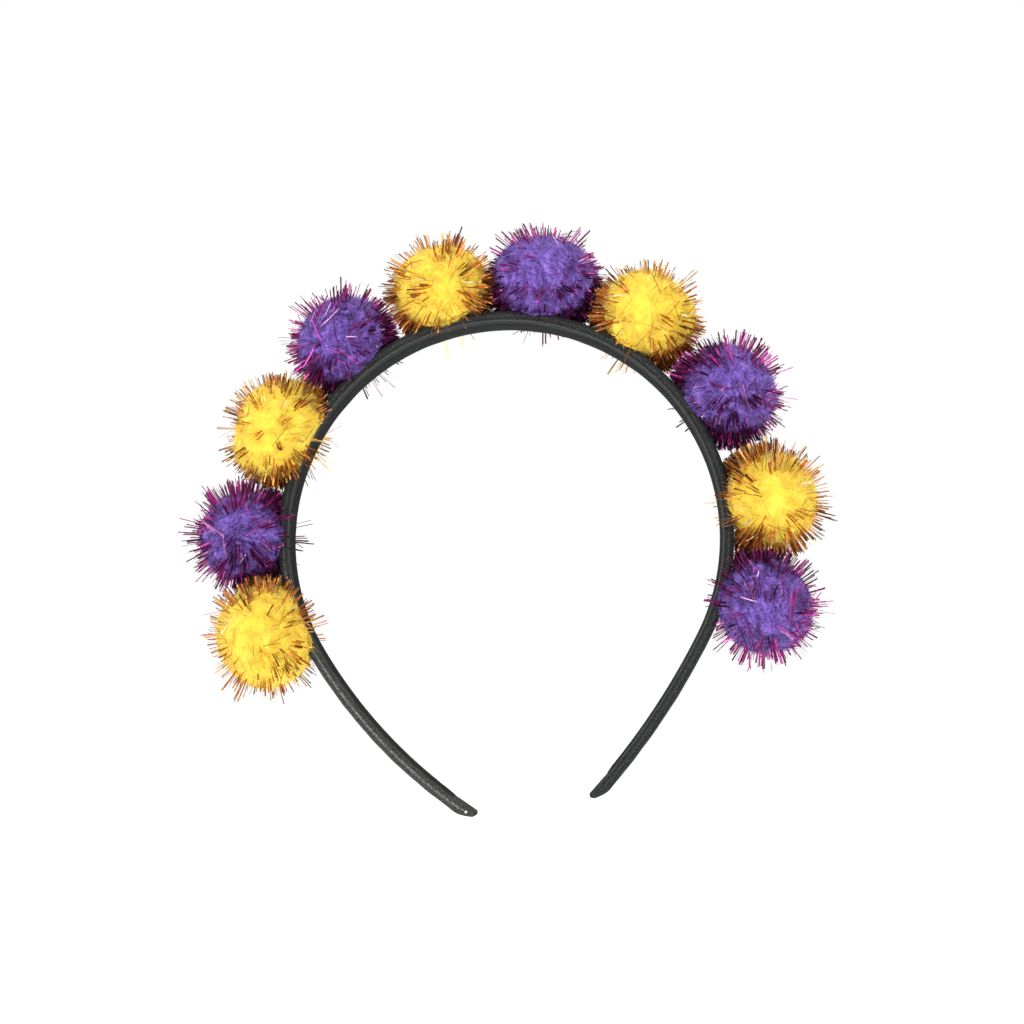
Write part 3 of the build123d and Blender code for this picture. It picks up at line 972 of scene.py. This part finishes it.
def make_tinsel(number, colour):
    """Strips of metallised film that stand out of a ball in small bundles, nearly parallel in each."""
    centre, radius = BALLS[number - 1]
    _, tall = BALL_SHAPES[number - 1]
    _, away = ball_axes(number)
    random = np.random.default_rng(500 + number)
    bundle_ways, bundle_reach, bundle_tone, sizes = tinsel_bundles(number, random)
    owner = np.repeat(np.arange(len(sizes)), sizes)
    count = len(owner)
    ways = unit(bundle_ways[owner] + random.normal(0, 0.06, (count, 3)))
    flat = owner >= len(sizes) - FLAT_BUNDLES
    pole = parting(number)
    facing = (ways @ pole)[:, None]
    level = unit(ways - pole * facing)
    lay = np.where(flat, 0.36, 0.30)[:, None] + random.normal(0, 0.1, (count, 1))
    swerve = np.cross(ways, level) * (random.normal(0, 0.22, len(sizes))[owner] * flat)[:, None]
    base = unit(ways - level * lay * abs(facing) ** 0.5 + swerve)
    aside = across(ways, random) * random.uniform(0, 1.2 * MM, count)[:, None]
    lowered = 1 - (1 - tall) * np.clip(ways @ away, 0, 1)
    wanted = radius * 0.97 * lowered + bundle_reach[owner] * random.uniform(0.65, 1.15, count)
    depth = np.where(flat, 0.95 * (1 - (1 - tall) * np.clip(base @ away, 0, 1)), 0.62)
    start = centre + base * (radius * depth)[:, None] + aside * 0.5
    over = radius * (lowered + random.uniform(0.0, 0.05, count)) + bundle_reach[owner]
    wanted = np.where(flat, over, wanted)
    end = centre + ways * wanted[:, None] + aside
    share = clear_share(number, start, end, random.uniform(-0.3 * MM, 1.9 * MM, count))
    end = start + (end - start) * share[:, None]
    kept = share > 0.5
    start, end, ways, owner, flat = start[kept], end[kept], ways[kept], owner[kept], flat[kept]
    count = len(ways)
    run = unit(end - start)
    bend = across(run, random) * (random.normal(0, 0.75 * MM, count))[:, None]
    width_way = across(run, random)
    other_way = np.cross(run, width_way)
    twist = random.normal(0, 0.5, count)
    narrow = 0.5 if colour == "yellow" else 0.8
    half = random.uniform(0.10, 0.25, count) * np.where(flat, narrow, 1.15) * MM
    slant = random.uniform(-0.45, 0.45, count) * MM
    sections = []
    for station in STRIP_STATIONS:
        at = start + (end - start) * station + bend * (station * (1 - 0.6 * station))
        angle = twist * station
        broad = width_way * np.cos(angle)[:, None] + other_way * np.sin(angle)[:, None]
        thick = unit(np.cross(broad, run)) * FILM_THICK / 2
        edge = broad * (half * (0.8 + 0.2 * station))[:, None]
        cut = run * (slant * (station == 1.0))[:, None]
        sections.append(np.stack([at - edge - thick, at + edge - thick + cut, at + edge + thick + cut,
                                  at - edge + thick], axis=1))
    strips = np.stack(sections, axis=1)
    rows = len(STRIP_STATIONS)
    points = strips.reshape(-1, 3)
    one = ring_faces(rows, 4, False)
    caps = np.array([[3, 2, 1, 0], [4 * rows - 4, 4 * rows - 3, 4 * rows - 2, 4 * rows - 1]])
    each = np.concatenate([one, caps])
    quads = (each[None] + (np.arange(count) * rows * 4)[:, None, None]).reshape(-1, 4)
    tone = np.clip(bundle_tone[owner] * 0.6 + random.uniform(0, 0.4, count), 0, 1)
    # Some strips darken towards the tip, and strips slipped behind the band darken along their whole length.
    darkens = random.random(count) < 0.4
    dark_share = np.where(darkens, random.uniform(0.6, 1.0, count), random.uniform(0, 0.2, count))
    tarnish = dark_share[:, None] * np.clip((STRIP_STATIONS - 0.6) / 0.4, 0, 1)[None] ** 0.8
    slipped = (run @ away < -0.6) & (run[:, 1] > 0.4)
    lowest, highest = (0.0, 0.5) if colour == "yellow" else (0.3, 1.0)
    tarnish = np.where(slipped[:, None], random.uniform(lowest, highest, count)[:, None], tarnish)
    piece = new_piece(
        f"tinsel_strips_{number:02d}", points, [quads], FILM[colour], smooth=False,
        tone=np.repeat(tone, rows * 4), tarnish=np.repeat(tarnish.ravel(), 4), place=points,
    )
    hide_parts(f"tinsel_{number:02d}")
    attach(piece, BODY[f"tinsel_{number:02d}"])


for number in range(1, BALL_COUNT + 1):
    colour = "yellow" if number % 2 else "purple"
    make_pile(number, colour)
    make_tinsel(number, colour)


# ---------------------------------------------------------------- CAD nodes that stay
for name, cad_node in frame["nodes"].items():
    if name.startswith(("tie_", "glue_")) and not cad_node.hide_render:
        cad_node.data.materials.clear()
        cad_node.data.materials.append(THREAD if name.startswith("tie_") else GLUE)


# ---------------------------------------------------------------- studio
FLOOR_HEIGHT = -0.30
FLOOR_RADIUS = 6.0


def make_floor():
    """A round pale floor."""
    material, tree, surface = new_material("floor_paper")
    place = node(tree, "TexCoord").outputs["Object"]
    grain = node(tree, "TexNoise", Vector=place, Scale=60.0, Detail=4.0)
    tint = ramp(tree, grain.outputs["Fac"], (0.3, grey(0.92)), (0.7, grey(0.96)))
    connect(tree, surface.inputs["Base Color"], tint)
    surface.inputs["Roughness"].default_value = 0.9
    surface.inputs["Emission Color"].default_value = (1.0, 1.0, 1.0, 1.0)
    surface.inputs["Emission Strength"].default_value = 0.75
    turn = np.linspace(0, 2 * math.pi, 96, endpoint=False)
    level = np.full(96, FLOOR_HEIGHT)
    rim = np.stack([FLOOR_RADIUS * np.cos(turn), FLOOR_RADIUS * np.sin(turn), level], axis=-1)
    points = np.concatenate([rim, [[0, 0, FLOOR_HEIGHT]]])
    new_piece("floor", points, [fan(0, 96, 96, False)], material)


def make_world():
    """An even white studio, with softer, darker sides that give the tinsel something to mirror."""
    world = bpy.data.worlds.new("studio")
    bpy.context.scene.world = world
    world.use_nodes = True
    tree = world.node_tree
    background = tree.nodes["Background"]
    way = node(tree, "TexCoord").outputs["Generated"]
    blobs = node(tree, "TexNoise", Vector=way, Scale=2.2, Detail=1.0)
    lit = ramp(tree, blobs.outputs["Fac"], (0.38, grey(0.12)), (0.62, grey(1.15)))
    seen = node(tree, "LightPath").outputs["Is Camera Ray"]
    colour = mix(tree, seen, lit, (1.1, 1.1, 1.1, 1.0))
    connect(tree, background.inputs["Color"], colour)
    background.inputs["Strength"].default_value = 0.92


def make_softbox(name, place, size, watts):
    """A square area light aimed at the hoop's middle."""
    light = bpy.data.lights.new(name, "AREA")
    light.shape = "SQUARE"
    light.size = size
    light.energy = watts
    lamp = bpy.data.objects.new(name, light)
    bpy.context.scene.collection.objects.link(lamp)
    aim(lamp, place, (0.0, 0.0, 0.0))


def aim(thing, place, target):
    """Puts a camera or light at place, facing target."""
    thing.location = place
    thing.rotation_mode = "QUATERNION"
    thing.rotation_quaternion = (Vector(target) - Vector(place)).to_track_quat("-Z", "Y")


CAMERA_DISTANCE = 440 * MM
CAMERA_TARGET = (2.18 * MM, 0.0, 7.06 * MM)
CAMERA_AZIMUTH = math.radians(4.3)
CAMERA_ELEVATION = math.radians(-8.2)
CAMERA_LENS = 51.56  # mm, on a 36 mm sensor


def make_camera():
    camera = bpy.data.objects.new("camera", bpy.data.cameras.new("camera"))
    bpy.context.scene.collection.objects.link(camera)
    camera.data.lens = CAMERA_LENS
    camera.data.sensor_width = 36.0
    camera.data.clip_start = 0.01
    camera.data.clip_end = 50.0
    level = math.cos(CAMERA_ELEVATION)
    back = (math.sin(CAMERA_AZIMUTH) * level, -math.cos(CAMERA_AZIMUTH) * level, math.sin(CAMERA_ELEVATION))
    place = [t + CAMERA_DISTANCE * b for t, b in zip(CAMERA_TARGET, back)]
    aim(camera, place, CAMERA_TARGET)
    bpy.context.scene.camera = camera


make_floor()
make_world()
make_softbox("key", (-0.45, -0.75, 0.55), 0.5, 5.6)
make_softbox("fill", (0.7, -0.6, 0.1), 0.6, 1.9)
make_softbox("top", (0.1, 0.2, 0.9), 0.6, 2.2)
make_camera()
bpy.context.scene.view_settings.view_transform = "Standard"
